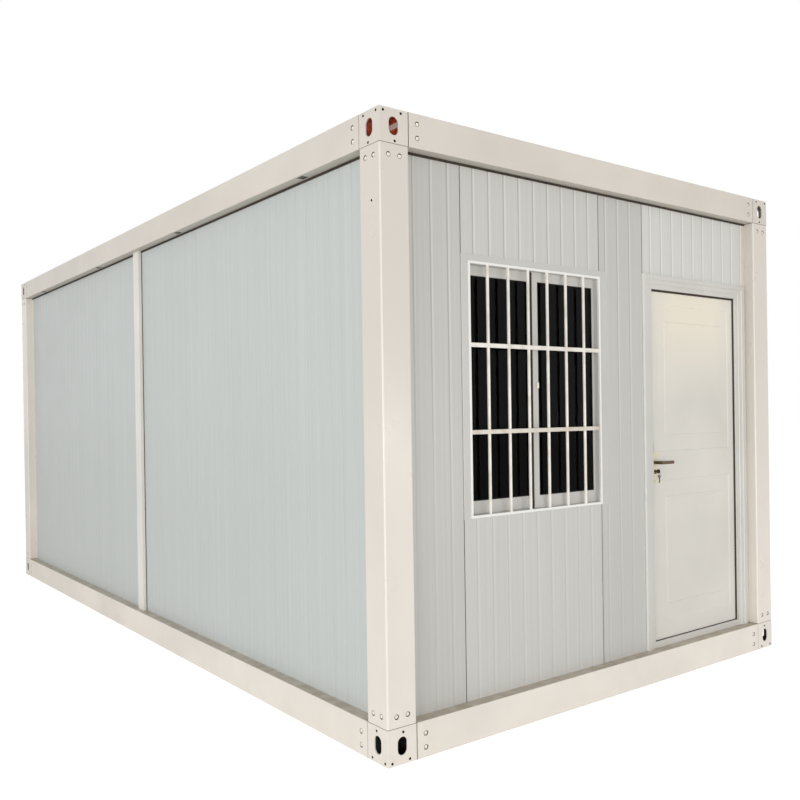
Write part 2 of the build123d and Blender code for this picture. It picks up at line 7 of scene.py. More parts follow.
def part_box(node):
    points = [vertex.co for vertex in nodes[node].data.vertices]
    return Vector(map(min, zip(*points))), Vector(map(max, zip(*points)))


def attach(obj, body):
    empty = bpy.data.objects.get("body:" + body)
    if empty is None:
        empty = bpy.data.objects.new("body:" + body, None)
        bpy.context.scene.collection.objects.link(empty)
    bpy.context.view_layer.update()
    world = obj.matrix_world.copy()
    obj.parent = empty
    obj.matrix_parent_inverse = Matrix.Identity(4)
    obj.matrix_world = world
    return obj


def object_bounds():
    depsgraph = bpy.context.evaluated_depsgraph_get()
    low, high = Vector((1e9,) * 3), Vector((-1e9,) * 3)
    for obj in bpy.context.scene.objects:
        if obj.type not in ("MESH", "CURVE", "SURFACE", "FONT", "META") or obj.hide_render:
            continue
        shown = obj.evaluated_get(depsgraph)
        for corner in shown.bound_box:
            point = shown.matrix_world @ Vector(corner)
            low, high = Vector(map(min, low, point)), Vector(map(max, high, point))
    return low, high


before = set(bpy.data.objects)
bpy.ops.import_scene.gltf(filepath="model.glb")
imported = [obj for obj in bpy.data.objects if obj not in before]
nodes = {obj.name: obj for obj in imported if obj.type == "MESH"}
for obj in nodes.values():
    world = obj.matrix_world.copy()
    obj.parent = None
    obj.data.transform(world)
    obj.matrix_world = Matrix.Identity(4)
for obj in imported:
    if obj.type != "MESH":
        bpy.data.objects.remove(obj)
cad_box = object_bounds()

# Sizes of the cabin in metres, first those that the frame gives
HALF_WIDTH, HALF_LENGTH, TOP = cad_box[1]
WALL_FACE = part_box("panel_over_window")[0][1]
WALL_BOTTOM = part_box("left_wall_panels")[0][2]
WALL_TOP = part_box("left_wall_panels")[1][2]
SASH_LOW, SASH_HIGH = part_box("window_sashes")
GLASS_LOW, GLASS_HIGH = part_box("window_glass")
LEAF_LOW, LEAF_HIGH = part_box("door_leaf")
PLATE_LOW, PLATE_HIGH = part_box("lock_plates")
WALL_INSET = 0.065
POST_WIDTH = 0.155
POST_DEPTH = 0.150
FRAME_SHEET = 0.003
BLOCK_SKIN = 0.0075
DRAIN_PITCH = 1.530
DRAIN_INSET = 0.030
LOW_RAIL = 1.407
WINDOW_LIP = 0.0065

# Colours as they look in the photograph, 0 to 255
FRAME_CREAM = (235, 228, 218)
# Painted shade: a darker copy of the frame cream, for the roof members and high up on the front posts
FRAME_SHADED_HIGH = (217, 210, 200)
FRAME_BEND_HIGHLIGHT = (250, 247, 240)
WALL_GREY = (203, 202, 197)
# Painted shade and painted light: shaded and lit copies of the wall grey for single front panels
WALL_SHADED = (197, 196, 191)
FRONT_WALL_LIT = (213, 212, 207)
# Painted light: the side walls' grey differs from the front's only by how light falls on it
SIDE_WALL_LIT = (200, 205, 203)
ROOF_GREY = (205, 207, 206)
CEILING_WHITE = (225, 225, 221)
DOOR_WHITE = (217, 214, 206)
DOOR_REFLECTION = (238, 230, 211)
CASING_GREY = (206, 204, 198)
CASING_HIGHLIGHT = (238, 237, 232)
WINDOW_GREY = (199, 197, 192)
WINDOW_WHITE = (240, 239, 235)
GUTTER_SHADE_GREY = (196, 191, 180)
GUTTER_DIRT = (78, 70, 58)
DRAIN_DARK_PATCH = (24, 22, 20)
GUARD_WHITE = (240, 236, 228)
GUARD_SHADE = (196, 182, 162)
PRIMER_RED = (214, 104, 66)
PAINTED_LIGHT_BAND = (255, 250, 242)
BLOCK_GREY = (206, 202, 194)
FLOOR_BLOCK_INSIDE_DARK = (38, 35, 32)
SEAM_BROWN = (92, 76, 60)
LEDGE_GRIME = (178, 166, 148)
GRIME = (150, 134, 112)
JOINT_WHITE = (232, 229, 222)
BOLT_WHITE = (244, 238, 228)
DIMPLE_SHADE = (186, 174, 156)
DIMPLE_CRESCENT_SHADE = (66, 54, 43)
HOLE_SHADE_BLACK = (10, 9, 8)
RUBBER_AND_SHADE_BROWN = (46, 38, 32)
GLASS_TINT = (52, 76, 68)
ZINC = (168, 171, 172)
HINGE_STEEL = (190, 190, 186)
CHAMPAGNE = (234, 224, 202)
BRONZE = (118, 102, 82)
BOARD_GREY = (150, 148, 142)
VINYL_GREY = (158, 160, 160)
FLOOR_BOUNCE = (170, 167, 163)
WHITE = (1, 1, 1, 1)

# The world's light on the object, and the floor's glow, on the object and for the camera
WORLD_LIGHT = 0.52
FLOOR_GLOW = 0.4
FLOOR_LIFT = 0.5

# Dark lines where frame pieces meet: how far they reach, and how strong they are
SEAM = 0.0032
POST_SEAM = 0.0027
BEAM_SEAM_ON_BLOCK = 0.0007
POST_SEAM_ON_BLOCK = 0.0004
END_SEAM_SHARE = 0.8
SIDE_SEAM_SHARE = 0.2
POST_SEAM_SHARE = 0.7

# A face looks along an axis where that part of its direction is over this
ALONG_AXIS = 0.7

# Where dirt, dark patches, painted shade, painted highlights and painted light lie, in metres
DIRT_TOP = 0.5
POST_SHADE_FROM, POST_SHADE_TO = 0.3, 1.9
POST_SHADE_FRONT_Y = 0.5
LEDGE_SKIN = 0.0008
PATCH_HALF_LENGTH = 0.027
PATCH_HALF_WIDTH = 0.018
GUTTER_DIRT_DEPTH = 0.06
GUTTER_DIRT_FROM, GUTTER_DIRT_TO = 0.04, 0.11
BAND_BELOW_TOP = 0.040
BAND_HALF_HEIGHT = 0.012
GROOVES_FAINT_TO, GROOVES_FULL_FROM = 1.2, 2.0
JOINT_SHADE_WIDTH = 0.006
HIGHLIGHT_EDGE_DEPTH = 0.001
RAIL_HALF_HEIGHT = 0.014
REFLECTION_FROM, REFLECTION_TO = 1.55, 2.0
REFLECTION_HALF_WIDTH, REFLECTION_END = 0.2, 0.41


def linear(colour):
    """An sRGB colour, 0 to 255, as the linear values that Blender's sockets take."""
    shares = (channel / 255 for channel in colour)
    return tuple(((c + 0.055) / 1.055) ** 2.4 if c > 0.04045 else c / 12.92 for c in shares) + (1.0,)


def shade(colour, factor):
    """A colour made lighter or darker."""
    return linear([min(255, channel * factor) for channel in colour])


class Look:
    """A material under construction. Its textures lie on the row frame, in metres."""

    def __init__(self, name, colour, roughness, metallic=0.0):
        self.material = bpy.data.materials.new(name)
        self.material.use_nodes = True
        self.tree = self.material.node_tree
        self.shader = self.tree.nodes["Principled BSDF"]
        self.set("Base Color", linear(colour))
        self.set("Roughness", roughness)
        self.set("Metallic", metallic)
        self.place = self.tree.nodes.new("ShaderNodeTexCoord").outputs["Object"]
        self.bump = None

    def set(self, socket, value):
        """Gives a socket of the shader a constant, or links it to another node's output."""
        if isinstance(value, bpy.types.NodeSocket):
            self.tree.links.new(value, self.shader.inputs[socket])
        else:
            self.shader.inputs[socket].default_value = value

    def node(self, kind, inputs, **settings):
        """Adds a node with these settings. Inputs are constants or other nodes' outputs."""
        made = self.tree.nodes.new(kind)
        for name, value in settings.items():
            setattr(made, name, value)
        for name, value in inputs.items():
            if isinstance(value, bpy.types.NodeSocket):
                self.tree.links.new(value, made.inputs[name])
            else:
                made.inputs[name].default_value = value
        return made

    def noise(self, scale, detail=3.0, stretch=(1, 1, 1)):
        """Noise from 0 to 1, with this many features a metre."""
        scales = [scale * factor for factor in stretch]
        vector = self.node("ShaderNodeMapping", {"Vector": self.place, "Scale": scales}).outputs["Vector"]
        made = self.node("ShaderNodeTexNoise", {"Vector": vector, "Scale": 1.0, "Detail": detail})
        return made.outputs["Fac"]

    def axis(self, letter):
        """One coordinate of the place."""
        return self.node("ShaderNodeSeparateXYZ", {"Vector": self.place}).outputs[letter]

    def out(self, letter):
        """How far the place lies from the middle of the cabin along one axis."""
        return self.size(self.axis(letter))

    def direction(self):
        """The three parts of the face's own direction."""
        normal = self.node("ShaderNodeNewGeometry", {}).outputs["True Normal"]
        return self.node("ShaderNodeSeparateXYZ", {"Vector": normal}).outputs

    def slant(self):
        """0 on a wall along an axis, and up to 0.7 on a face turned halfway between two axes."""
        parts = self.direction()
        return self.math("MINIMUM", self.size(parts["X"]), self.size(parts["Y"]))

    def math(self, operation, a, b=0.0):
        """One sum on two values."""
        return self.node("ShaderNodeMath", {0: a, 1: b}, operation=operation).outputs[0]

    def size(self, value):
        """A value without its sign."""
        return self.math("ABSOLUTE", value)

    def off(self, value, level):
        """How far value lies from a level, on either side."""
        return self.size(self.math("SUBTRACT", value, level))

    def less(self, value, limit):
        """1 where value is under the limit."""
        return self.math("LESS_THAN", value, limit)

    def more(self, value, limit):
        """1 where value is over the limit."""
        return self.math("GREATER_THAN", value, limit)

    def besides(self, share):
        """1 where share is 0, and 0 where it is 1."""
        return self.math("SUBTRACT", 1.0, share)

    def either(self, a, b):
        """The larger of two shares."""
        return self.math("MAXIMUM", a, b)

    def both(self, *shares):
        """The shares multiplied, so 1 only where each of them is."""
        product = shares[0]
        for share in shares[1:]:
            product = self.math("MULTIPLY", product, share)
        return product

    def ramp(self, value, start, end, low=0.0, high=1.0):
        """Turns value, from start to end, into low to high, and holds it outside."""
        inputs = {"Value": value, "From Min": start, "From Max": end, "To Min": low, "To Max": high}
        return self.node("ShaderNodeMapRange", inputs, clamp=True).outputs["Result"]

    def choose(self, share, low, high):
        """The number low where share is 0, and high where it is 1."""
        return self.ramp(share, 0.0, 1.0, low, high)

    def mix(self, share, a, b):
        """Colour a where share is 0 and b where it is 1."""
        inputs = {0: share, 6: a, 7: b}
        return self.node("ShaderNodeMix", inputs, data_type="RGBA").outputs[2]

    def over_paint(self, share, colour):
        """Lays a colour, or another node's output, over the paint where share is 1."""
        under = self.shader.inputs["Base Color"].links[0].from_socket
        above = colour if isinstance(colour, bpy.types.NodeSocket) else linear(colour)
        self.set("Base Color", self.mix(share, under, above))

    def raise_by(self, height, distance):
        """Adds a bump of this depth in metres to the surface."""
        inputs = {"Height": height, "Distance": distance, "Strength": 1.0}
        if self.bump is not None:
            inputs["Normal"] = self.bump
        self.bump = self.node("ShaderNodeBump", inputs).outputs["Normal"]
        self.set("Normal", self.bump)


def painted(name, colour, roughness, mottle=0.025, dirt=0.0):
    """Sprayed paint on steel: cloudy colour, orange peel, and dirt near the ground."""
    look = Look(name, colour, roughness)
    cloud = look.ramp(look.noise(1.7, detail=4.0), 0.3, 0.7)
    base = look.mix(cloud, shade(colour, 1 - mottle), shade(colour, 1 + mottle))
    if dirt:
        low = look.ramp(look.axis("Z"), 0.0, DIRT_TOP, 1.0, 0.0)
        patchy = look.ramp(look.noise(9.0, detail=6.0), 0.42, 0.75)
        base = look.mix(look.both(low, patchy, dirt), base, linear(GRIME))
    look.set("Base Color", base)
    sheen = look.noise(6.0)
    look.set("Roughness", look.ramp(sheen, 0.2, 0.8, roughness - 0.06, roughness + 0.08))
    orange_peel = look.noise(320.0, detail=2.0)
    look.raise_by(orange_peel, 0.00012)
    return look


def within_cabin(look, depth):
    """1 where the place lies deeper than this behind the upright outer faces of the cabin."""
    within_x = look.less(look.out("X"), HALF_WIDTH - depth)
    within_y = look.less(look.out("Y"), HALF_LENGTH - depth)
    return look.both(within_x, within_y)


def darken_beam_ends(look):
    """A dark line where a beam meets its corner block, faint on the long sides."""
    near_x = look.more(look.out("X"), HALF_WIDTH - POST_WIDTH - SEAM)
    near_y = look.more(look.out("Y"), HALF_LENGTH - POST_DEPTH - SEAM)
    on_side = look.more(look.out("X"), HALF_WIDTH - POST_WIDTH)
    share = look.choose(on_side, END_SEAM_SHARE, SIDE_SEAM_SHARE)
    look.over_paint(look.both(near_x, near_y, share), SEAM_BROWN)


def post_paint(name):
    """Frame paint, with painted shade high up on the front posts, painted highlights on the bends, and a
    dark line at each end.
    """
    look = painted(name, FRAME_CREAM, 0.3, dirt=0.06)
    # Painted shade, growing with height and towards the front
    with_height = look.ramp(look.axis("Z"), POST_SHADE_FROM, POST_SHADE_TO, 0.0, 0.9)
    to_the_front = look.ramp(look.axis("Y"), POST_SHADE_FRONT_Y, HALF_LENGTH, 1.0, 0.0)
    look.over_paint(look.both(with_height, to_the_front), FRAME_SHADED_HIGH)
    # Painted highlight on the posts' rounded bends
    on_bend = look.more(look.slant(), 0.25)
    look.over_paint(look.both(on_bend, 0.35), FRAME_BEND_HIGHLIGHT)
    low = look.less(look.axis("Z"), WALL_BOTTOM + POST_SEAM)
    high = look.more(look.axis("Z"), WALL_TOP - POST_SEAM)
    look.over_paint(look.both(look.either(low, high), POST_SEAM_SHARE), SEAM_BROWN)
    return look


def floor_beam_paint(name):
    """Frame paint, with grime on the ledge in front of the wall."""
    look = painted(name, FRAME_CREAM, 0.36, dirt=0.06)
    on_top = look.more(look.axis("Z"), WALL_BOTTOM - LEDGE_SKIN)
    patchy = look.ramp(look.noise(14.0, detail=5.0), 0.2, 0.6, 0.5, 1.0)
    look.over_paint(look.both(on_top, within_cabin(look, FRAME_SHEET), patchy), LEDGE_GRIME)
    darken_beam_ends(look)
    return look


def roof_beam_paint(name):
    """Frame paint, grey painted shade on the gutter's underside, dark patches under its drain slots, and
    dirt over them.
    """
    # The roof beams take the painted-shade copy of the frame cream
    look = painted(name, FRAME_SHADED_HIGH, 0.36)
    darken_beam_ends(look)
    # Painted shade: grey on the gutter's underside
    below = look.less(look.axis("Z"), WALL_TOP + FRAME_SHEET / 2)
    look.over_paint(look.both(below, within_cabin(look, FRAME_SHEET)), GUTTER_SHADE_GREY)
    off_drain = look.off(look.off(look.out("Y"), DRAIN_PITCH), DRAIN_PITCH / 2)
    along = look.less(off_drain, PATCH_HALF_LENGTH)
    across = look.less(look.off(look.out("X"), HALF_WIDTH - DRAIN_INSET), PATCH_HALF_WIDTH)
    look.over_paint(look.both(below, along, across), DRAIN_DARK_PATCH)
    within_x = look.less(look.out("X"), HALF_WIDTH - FRAME_SHEET)
    shallow = look.less(look.axis("Z"), WALL_TOP + GUTTER_DIRT_DEPTH)
    near = look.ramp(off_drain, GUTTER_DIRT_FROM, GUTTER_DIRT_TO, 0.9, 0.0)
    look.over_paint(look.both(within_x, look.besides(below), shallow, near), GUTTER_DIRT)
    return look


def roof_block_inside(look, patchy):
    """The inner faces of the roof blocks: primer with a painted band of light on the left, and grey on the
    right.
    """
    primer = look.mix(patchy, shade(PRIMER_RED, 0.7), shade(PRIMER_RED, 1.15))
    # A painted band of light on the inner faces that look along X
    at_level = look.less(look.off(look.axis("Z"), TOP - BAND_BELOW_TOP), BAND_HALF_HEIGHT)
    sideways = look.more(look.size(look.direction()["X"]), ALONG_AXIS)
    banded = look.mix(look.both(at_level, sideways), primer, linear(PAINTED_LIGHT_BAND))
    grey = look.mix(patchy, shade(BLOCK_GREY, 0.8), shade(BLOCK_GREY, 1.05))
    return look.mix(look.more(look.axis("X"), 0.0), banded, grey)


def block_paint(name, is_roof):
    """Frame paint outside a corner block, other colours on its inner faces, and dark lines at its seams."""
    bottom, top = (WALL_TOP, TOP) if is_roof else (0.0, WALL_BOTTOM)
    # The roof blocks take the painted-shade copy of the frame cream
    look = painted(name, FRAME_SHADED_HIGH if is_roof else FRAME_CREAM, 0.36, dirt=0.08)
    patchy = look.ramp(look.noise(60.0, detail=4.0), 0.3, 0.7)
    if is_roof:
        inner = roof_block_inside(look, patchy)
    else:
        inner = look.mix(patchy, shade(FLOOR_BLOCK_INSIDE_DARK, 0.7), shade(FLOOR_BLOCK_INSIDE_DARK, 1.15))
    above = look.more(look.axis("Z"), bottom + BLOCK_SKIN)
    below = look.less(look.axis("Z"), top - BLOCK_SKIN)
    look.over_paint(look.both(within_cabin(look, BLOCK_SKIN), above, below), inner)
    off_end_beam = look.more(look.out("X"), HALF_WIDTH - POST_WIDTH + BEAM_SEAM_ON_BLOCK)
    off_side_beam = look.more(look.out("Y"), HALF_LENGTH - POST_DEPTH + BEAM_SEAM_ON_BLOCK)
    at_end_beam = look.choose(off_end_beam, END_SEAM_SHARE, 0.0)
    at_side_beam = look.choose(off_side_beam, SIDE_SEAM_SHARE, 0.0)
    if is_roof:
        at_post = look.less(look.axis("Z"), bottom + POST_SEAM_ON_BLOCK)
    else:
        at_post = look.more(look.axis("Z"), top - POST_SEAM_ON_BLOCK)
    at_beam = look.either(at_end_beam, at_side_beam)
    look.over_paint(look.either(at_beam, look.both(at_post, POST_SEAM_SHARE)), SEAM_BROWN)
    return look


def dimple_painted_shade(name):
    """Painted shade in a bolt's dimple: darker paint all round, and a dark crescent of painted shade that
    grows towards the right of the cabin.
    It lies above left on high bolts, and below right on low ones."""
    look = painted(name, DIMPLE_SHADE, 0.5)
    parts = look.direction()
    on_end = look.more(look.size(parts["Y"]), ALONG_AXIS)
    along_x = look.both(parts["X"], on_end)
    along_y = look.both(parts["Y"], look.besides(on_end))
    lean = look.math("SUBTRACT", look.math("SUBTRACT", along_x, along_y), parts["Z"])
    way = look.choose(look.more(look.axis("Z"), TOP / 2), -1.0, 1.0)
    start = look.ramp(look.axis("X"), 0.0, 1.0, 0.15, -0.55)
    look.over_paint(look.more(look.both(lean, way), start), DIMPLE_CRESCENT_SHADE)
    return look


def panel_skin(name, colour, groove_contrast, seam_share):
    """Coated sheet of the sandwich panels: faint upright streaks, painted shade and painted light on the
    grooves' slopes, and painted shade in the seams.
    """
    look = Look(name, colour, 0.42)
    streaks = look.noise(1.0, stretch=(70, 70, 0.35))
    base = look.mix(look.ramp(streaks, 0.3, 0.7), shade(colour, 0.985), shade(colour, 1.015))
    cloud = look.ramp(look.noise(1.1, detail=4.0), 0.3, 0.75, 0.0, 0.35)
    base = look.mix(cloud, base, shade(colour, 0.95))
    slant = look.slant()
    parts = look.direction()
    lean = look.size(look.math("ADD", parts["X"], parts["Y"]))
    strength = look.ramp(
        look.axis("Z"), GROOVES_FAINT_TO, GROOVES_FULL_FROM, 0.1 * groove_contrast, groove_contrast)
    # Painted shade on one slope of each groove and painted light on the other, faint low down
    groove = look.both(look.more(slant, 0.15), strength)
    lit = look.both(groove, look.more(lean, 1.0))
    base = look.mix(groove, base, shade(colour, 0.84))
    base = look.mix(lit, base, shade(colour, 1.1))
    # Painted shade in the seams between panels
    seam = look.both(look.more(slant, 0.5), seam_share)
    look.set("Base Color", look.mix(seam, base, shade(colour, 0.5)))
    look.set("Roughness", look.ramp(look.noise(4.0, detail=2.0), 0.2, 0.8, 0.34, 0.48))
    look.raise_by(streaks, 0.00015)
    look.raise_by(look.noise(260.0, detail=2.0), 0.00008)
    return look


def joint_paint(name):
    """White paint of the posts between the side panels, with painted shade on their sides where they meet
    the panels.
    """
    look = painted(name, JOINT_WHITE, 0.4)
    sideways = look.more(look.size(look.direction()["Y"]), ALONG_AXIS)
    at_panel = look.less(look.out("X"), HALF_WIDTH - WALL_INSET + JOINT_SHADE_WIDTH)
    look.over_paint(look.both(sideways, at_panel), SEAM_BROWN)
    return look


def window_paint(name):
    """Grey cover strip and sashes, with a white lip, and painted highlights on the outer edges."""
    look = painted(name, WINDOW_GREY, 0.38)
    lip = look.less(look.axis("Y"), WALL_FACE - WINDOW_LIP)
    # Painted highlight on the turned faces of the outer edges, in front of the wall
    turned = look.less(look.size(look.direction()["Y"]), 0.9)
    edge = look.both(turned, look.less(look.axis("Y"), WALL_FACE + HIGHLIGHT_EDGE_DEPTH))
    look.over_paint(look.either(lip, edge), WINDOW_WHITE)
    return look


def guard_paint(name):
    """White paint with patches of painted shade, most of them on the lower rail."""
    look = painted(name, GUARD_WHITE, 0.28)
    patchy = look.ramp(look.noise(16.0, detail=4.0), 0.42, 0.66)
    on_rail = look.less(look.off(look.axis("Z"), LOW_RAIL), RAIL_HALF_HEIGHT)
    look.over_paint(look.math("ADD", look.both(patchy, 0.4), look.both(on_rail, 0.45)), GUARD_SHADE)
    return look


def casing_paint(name):
    """Grey white paint of the door frame, with painted highlights on the faces of its steps that face left.
    """
    look = painted(name, CASING_GREY, 0.4)
    look.over_paint(look.less(look.direction()["X"], -ALONG_AXIS), CASING_HIGHLIGHT)
    return look


def leaf_paint(name):
    """Door paint, with a painted reflection, warmer and lighter, in the middle of its upper panel."""
    look = painted(name, DOOR_WHITE, 0.4)
    high = look.ramp(look.axis("Z"), REFLECTION_FROM, REFLECTION_TO, 0.0, 0.85)
    off_middle = look.off(look.axis("X"), (LEAF_LOW[0] + LEAF_HIGH[0]) / 2)
    near_middle = look.ramp(off_middle, REFLECTION_HALF_WIDTH, REFLECTION_END, 1.0, 0.25)
    look.over_paint(look.both(high, near_middle), DOOR_REFLECTION)
    return look


def metal(name, colour, roughness, brushed=(1, 1, 1)):
    """Bare or plated metal with fine marks."""
    look = Look(name, colour, roughness, metallic=1.0)
    marks = look.noise(500.0, stretch=brushed)
    look.set("Base Color", look.mix(look.ramp(marks, 0.3, 0.7), shade(colour, 0.9), shade(colour, 1.06)))
    look.set("Roughness", look.ramp(marks, 0.2, 0.8, roughness - 0.08, roughness + 0.1))
    look.raise_by(marks, 0.00004)
    return look


def galvanised(name):
    """Zinc coated steel with its large, soft crystals."""
    look = Look(name, ZINC, 0.42, metallic=0.9)
    cells = look.node("ShaderNodeTexVoronoi", {"Vector": look.place, "Scale": 60.0})
    share = look.node("ShaderNodeSeparateColor", {"Color": cells.outputs["Color"]}).outputs["Red"]
    look.set("Base Color", look.mix(share, shade(ZINC, 0.85), shade(ZINC, 1.1)))
    look.set("Roughness", look.choose(share, 0.34, 0.52))
    return look


def board_look(name):
    """Fibre cement board with fine flecks."""
    look = Look(name, BOARD_GREY, 0.85)
    flecks = look.noise(180.0, detail=6.0)
    share = look.ramp(flecks, 0.35, 0.7)
    look.set("Base Color", look.mix(share, shade(BOARD_GREY, 0.8), shade(BOARD_GREY, 1.12)))
    look.raise_by(flecks, 0.0006)
    return look


def vinyl_look(name):
    """Grey vinyl floor with a speckle."""
    look = Look(name, VINYL_GREY, 0.45)
    speckle = look.noise(240.0, detail=2.0)
    base = look.mix(look.ramp(speckle, 0.45, 0.6), shade(VINYL_GREY, 0.82), shade(VINYL_GREY, 1.1))
    cloud = look.ramp(look.noise(3.0, detail=4.0), 0.3, 0.8, 0.0, 0.3)
    look.set("Base Color", look.mix(cloud, base, shade(VINYL_GREY, 0.8)))
    look.raise_by(speckle, 0.0001)
    return look


def glass_look(name):
    """Dark tinted glass with a thin film of dust."""
    look = Look(name, GLASS_TINT, 0.02)
    look.set("Transmission Weight", 1.0)
    look.set("IOR", 1.17)
    look.set("Roughness", look.ramp(look.noise(5.0, detail=5.0), 0.4, 0.8, 0.0, 0.06))
    return look


def dull_dark(name, colour):
    """Dark rubber, or painted shade: the inside of a small hole, and the strip under the gutters."""
    look = Look(name, colour, 0.9)
    dust = look.noise(90.0, detail=5.0)
    look.set("Base Color", look.mix(look.ramp(dust, 0.4, 0.8), linear(colour), shade(colour, 1.7)))
    look.raise_by(dust, 0.0002)
    return look


# One material for each finish
looks = {
    "frame": painted("frame_paint", FRAME_CREAM, 0.36, dirt=0.2),
    "post": post_paint("post_paint"),
    "floor_beam": floor_beam_paint("floor_beam_paint"),
    "roof_beam": roof_beam_paint("roof_beam_paint"),
    "floor_block": block_paint("floor_block_paint", is_roof=False),
    "roof_block": block_paint("roof_block_paint", is_roof=True),
    "front_wall": panel_skin("front_wall_skin", WALL_GREY, groove_contrast=0.7, seam_share=1.0),
    # Painted shade and painted light: shaded and lit copies of the front wall skin
    "front_shaded": panel_skin("front_shaded_skin", WALL_SHADED, groove_contrast=0.7, seam_share=1.0),
    "front_lit": panel_skin("lit_front_skin", FRONT_WALL_LIT, groove_contrast=0.7, seam_share=1.0),
    # The side walls take their painted-light copy of the wall grey
    "side_wall": panel_skin("side_wall_skin", SIDE_WALL_LIT, groove_contrast=0.12, seam_share=0.12),
    "joint": joint_paint("joint_paint"),
    "window": window_paint("window_paint"),
    "guard": guard_paint("guard_paint"),
    "casing": casing_paint("casing_paint"),
    "leaf": leaf_paint("leaf_paint"),
    "roof": painted("roof_paint", ROOF_GREY, 0.5, mottle=0.04),
    "ceiling": painted("ceiling_paint", CEILING_WHITE, 0.5),
    "galvanised": galvanised("galvanised"),
    "board": board_look("cement_board"),
    "vinyl": vinyl_look("floor_vinyl"),
    "glass": glass_look("window_glass"),
    "hinge": metal("hinge_steel", HINGE_STEEL, 0.35),
    "plate": metal("lock_plate_metal", CHAMPAGNE, 0.3, brushed=(1, 1, 0.1)),
    "bronze": metal("bronze", BRONZE, 0.34),
    "bolt": painted("bolt_paint", BOLT_WHITE, 0.25),
    "dimple": dimple_painted_shade("dimple_painted_shade"),
    "hole": dull_dark("hole_painted_shade", HOLE_SHADE_BLACK),
    "gasket_and_shade": dull_dark("rubber_and_painted_shade", RUBBER_AND_SHADE_BROWN),
}

# Start of a node's name, and its finish. The first one that fits counts.
NODE_LOOKS = {
    "floor_corner_": "floor_block", "roof_corner_": "roof_block", "post_": "post",
    "floor_beam_": "floor_beam", "roof_beam_": "roof_beam", "floor_joists": "galvanised",
    "roof_purlins": "galvanised", "floor_board": "board", "floor_covering": "vinyl",
    "ceiling": "ceiling", "roof_sheet": "roof", "left_wall_panels": "side_wall",
    "right_wall_panels": "side_wall", "back_wall_panels": "front_wall",
    "front_panel_": "front_shaded", "panel_over_door": "front_lit", "panel_": "front_wall",
    "side_wall_joints": "joint", "window_frame": "window", "window_sashes": "window",
    "window_glass": "glass", "window_guard": "guard", "door_frame": "casing",
    "door_leaf": "leaf", "frame_hinges": "hinge", "leaf_hinges": "hinge",
    "lock_plates": "plate", "lock_cylinder": "bronze", "door_lever": "bronze",
}

# Folded sheet and castings have small round edges, in metres
EDGE_ROUNDS = {
    "floor_corner_": 0.0025, "roof_corner_": 0.0025, "floor_beam_": 0.0012, "roof_beam_": 0.0012,
    "window_frame": 0.0012, "window_sashes": 0.001, "door_frame": 0.0015, "door_leaf": 0.0015,
    "side_wall_joints": 0.0008, "lock_plates": 0.0008, "lock_cylinder": 0.0006, "door_lever": 0.0045,
}
SHARP_EDGE = math.radians(28)
WELD_DISTANCE = 0.00001


def finish_nodes():
    """Gives each node of the frame its material and its round edges."""
    for node_name, node in nodes.items():
        finish = next(look for start, look in NODE_LOOKS.items() if node_name.startswith(start))
        node.data.materials.clear()
        node.data.materials.append(looks[finish].material)
        weld = node.modifiers.new("weld", "WELD")
        weld.merge_threshold = WELD_DISTANCE
        for start, width in EDGE_ROUNDS.items():
            if node_name.startswith(start):
                rounded = node.modifiers.new("round_edges", "BEVEL")
                rounded.width = width
                rounded.segments = 3 if node_name == "door_lever" else 2
                rounded.limit_method = "ANGLE"
                rounded.angle_limit = SHARP_EDGE


def mesh_from(shape, name):
    """Makes a mesh of the bmesh, with its faces turned outwards."""
    bmesh.ops.recalc_face_normals(shape, faces=shape.faces)
    mesh = bpy.data.meshes.new(name)
    shape.to_mesh(mesh)
    shape.free()
    return mesh


def add_piece(name, shape, look, body):
    """Makes an object of the bmesh, which rides on a body of the record."""
    mesh = mesh_from(shape, name)
    mesh.materials.append(looks[look].material)
    piece = bpy.data.objects.new(name, mesh)
    bpy.context.scene.collection.objects.link(piece)
    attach(piece, body)


def circle_points(sides, hexagon=False):
    """Unit circle points, or points spread along a hexagon of the same circumradius."""
    points = []
    for index in range(sides):
        turn = 2 * math.pi * index / sides
        radius = 1.0
        if hexagon:
            off_middle = (turn % (math.pi / 3)) - math.pi / 6
            radius = math.cos(math.pi / 6) / math.cos(off_middle)
        points.append((radius * math.cos(turn), radius * math.sin(turn)))
    return points


def bridge(shape, loops):
    """Joins each loop of vertices to the next one with faces."""
    sides = len(loops[0])
    for first, second in zip(loops, loops[1:]):
        for index in range(sides):
            following = (index + 1) % sides
            shape.faces.new((first[index], first[following], second[following], second[index]))


def add_turned(shape, place, outward, rings, sides=12):
    """Adds a turned solid. Each ring is (radius, depth, hexagon), with depth measured inwards."""
    outward = Vector(outward)
    across = outward.cross(Vector((0, 0, 1))).normalized()
    along = outward.cross(across)
    loops = []
    for radius, depth, hexagon in rings:
        middle = Vector(place) - outward * depth
        loops.append([
            shape.verts.new(middle + radius * (u * across + v * along))
            for u, v in circle_points(sides, hexagon)])
    bridge(shape, loops)
    shape.faces.new(loops[0])
    shape.faces.new(loops[-1])


def add_hoop(shape, place, outward, rings, sides):
    """Adds a turned ring with a hole. Each ring is (radius, depth), and the last meets the first."""
    outward = Vector(outward)
    up = Vector((0, 0, 1))
    across = up.cross(outward)
    loops = [[
        shape.verts.new(Vector(place) - outward * depth + radius * (u * across + v * up))
        for u, v in circle_points(sides)] for radius, depth in rings]
    bridge(shape, loops + loops[:1])


